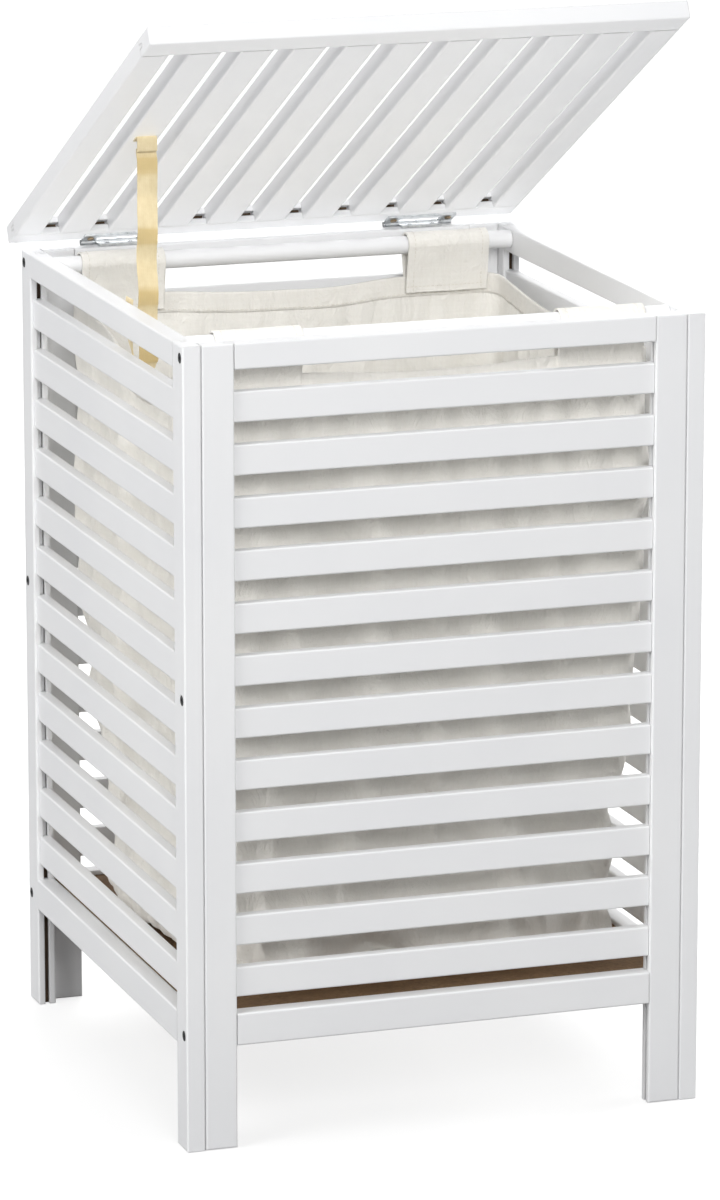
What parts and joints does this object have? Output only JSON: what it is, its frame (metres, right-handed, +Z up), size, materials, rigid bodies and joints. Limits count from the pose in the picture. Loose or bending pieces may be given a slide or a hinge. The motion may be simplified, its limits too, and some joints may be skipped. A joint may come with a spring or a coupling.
{
  "type": "laundry hamper",
  "caption": "Free-standing slatted wooden laundry hamper with a hinged slatted lid, a strap stay and a hung fabric liner.",
  "frame": {"origin": "on the floor, midway between the extreme faces in X and in Y with the lid partly open, which puts the body 4 mm to the right of the middle", "axes": "+X across the width to the right, -Y towards the front, +Z up; the lid hinges along X at the back"},
  "size_m": [0.439, 0.4499, 0.8772],
  "materials": {
    "white_wood": "white satin paint",
    "board": "bare hardboard",
    "cloth": "plain woven cotton",
    "webbing": "woven tape",
    "screw_steel": "blackened",
    "hinge_screw": "bronzed",
    "zinc": "zinc plated"
  },
  "bodies": {
    "body": {"back_rail_bottom": "white_wood", "back_rail_top": "white_wood", "back_slats": "white_wood", "back_stile_left": "white_wood", "back_stile_right": "white_wood", "base_board": "board", "front_rail_bottom": "white_wood", "front_rail_top": "white_wood", "front_slats": "white_wood", "front_stile_left": "white_wood", "front_stile_right": "white_wood", "hinge_left_inner_leaf": "zinc", "hinge_left_pin": "zinc", "hinge_right_inner_leaf": "zinc", "hinge_right_pin": "zinc", "laundry_bag": "cloth", "left_rail_bottom": "white_wood", "left_rail_top": "white_wood", "left_slats": "white_wood", "left_stile_back": "white_wood", "left_stile_front": "white_wood", "right_rail_bottom": "white_wood", "right_rail_top": "white_wood", "right_slats": "white_wood", "right_stile_back": "white_wood", "right_stile_front": "white_wood", "rod_back": "white_wood", "rod_front": "white_wood", "screw_back_left_1": "screw_steel", "screw_back_left_2": "screw_steel", "screw_back_left_3": "screw_steel", "screw_back_right_1": "screw_steel", "screw_back_right_2": "screw_steel", "screw_back_right_3": "screw_steel", "screw_front_left_1": "screw_steel", "screw_front_left_2": "screw_steel", "screw_front_left_3": "screw_steel", "screw_front_right_1": "screw_steel", "screw_front_right_2": "screw_steel", "screw_front_right_3": "screw_steel", "stay_strap": "webbing"},
    "lid": {"hinge_left_outer_leaf": "zinc", "hinge_right_outer_leaf": "zinc", "hinge_screw_left_1": "hinge_screw", "hinge_screw_left_2": "hinge_screw", "hinge_screw_right_1": "hinge_screw", "hinge_screw_right_2": "hinge_screw", "lid_rail_front": "white_wood", "lid_rail_rear": "white_wood", "lid_slat_1": "white_wood", "lid_slat_2": "white_wood", "lid_slat_3": "white_wood", "lid_slat_4": "white_wood", "lid_slat_5": "white_wood", "lid_slat_6": "white_wood", "lid_slat_7": "white_wood", "lid_slat_8": "white_wood", "lid_slat_9": "white_wood", "lid_stile_left": "white_wood", "lid_stile_right": "white_wood"}
  },
  "joints": [
    {"name": "lid_hinge", "type": "hinge", "parent": "body", "child": "lid", "pos_m": [0, 0.21959, 0.6418], "axis": [1, 0, 0], "range_deg": [-24, 28.9], "deforming": ["stay_strap"]}
  ]
}
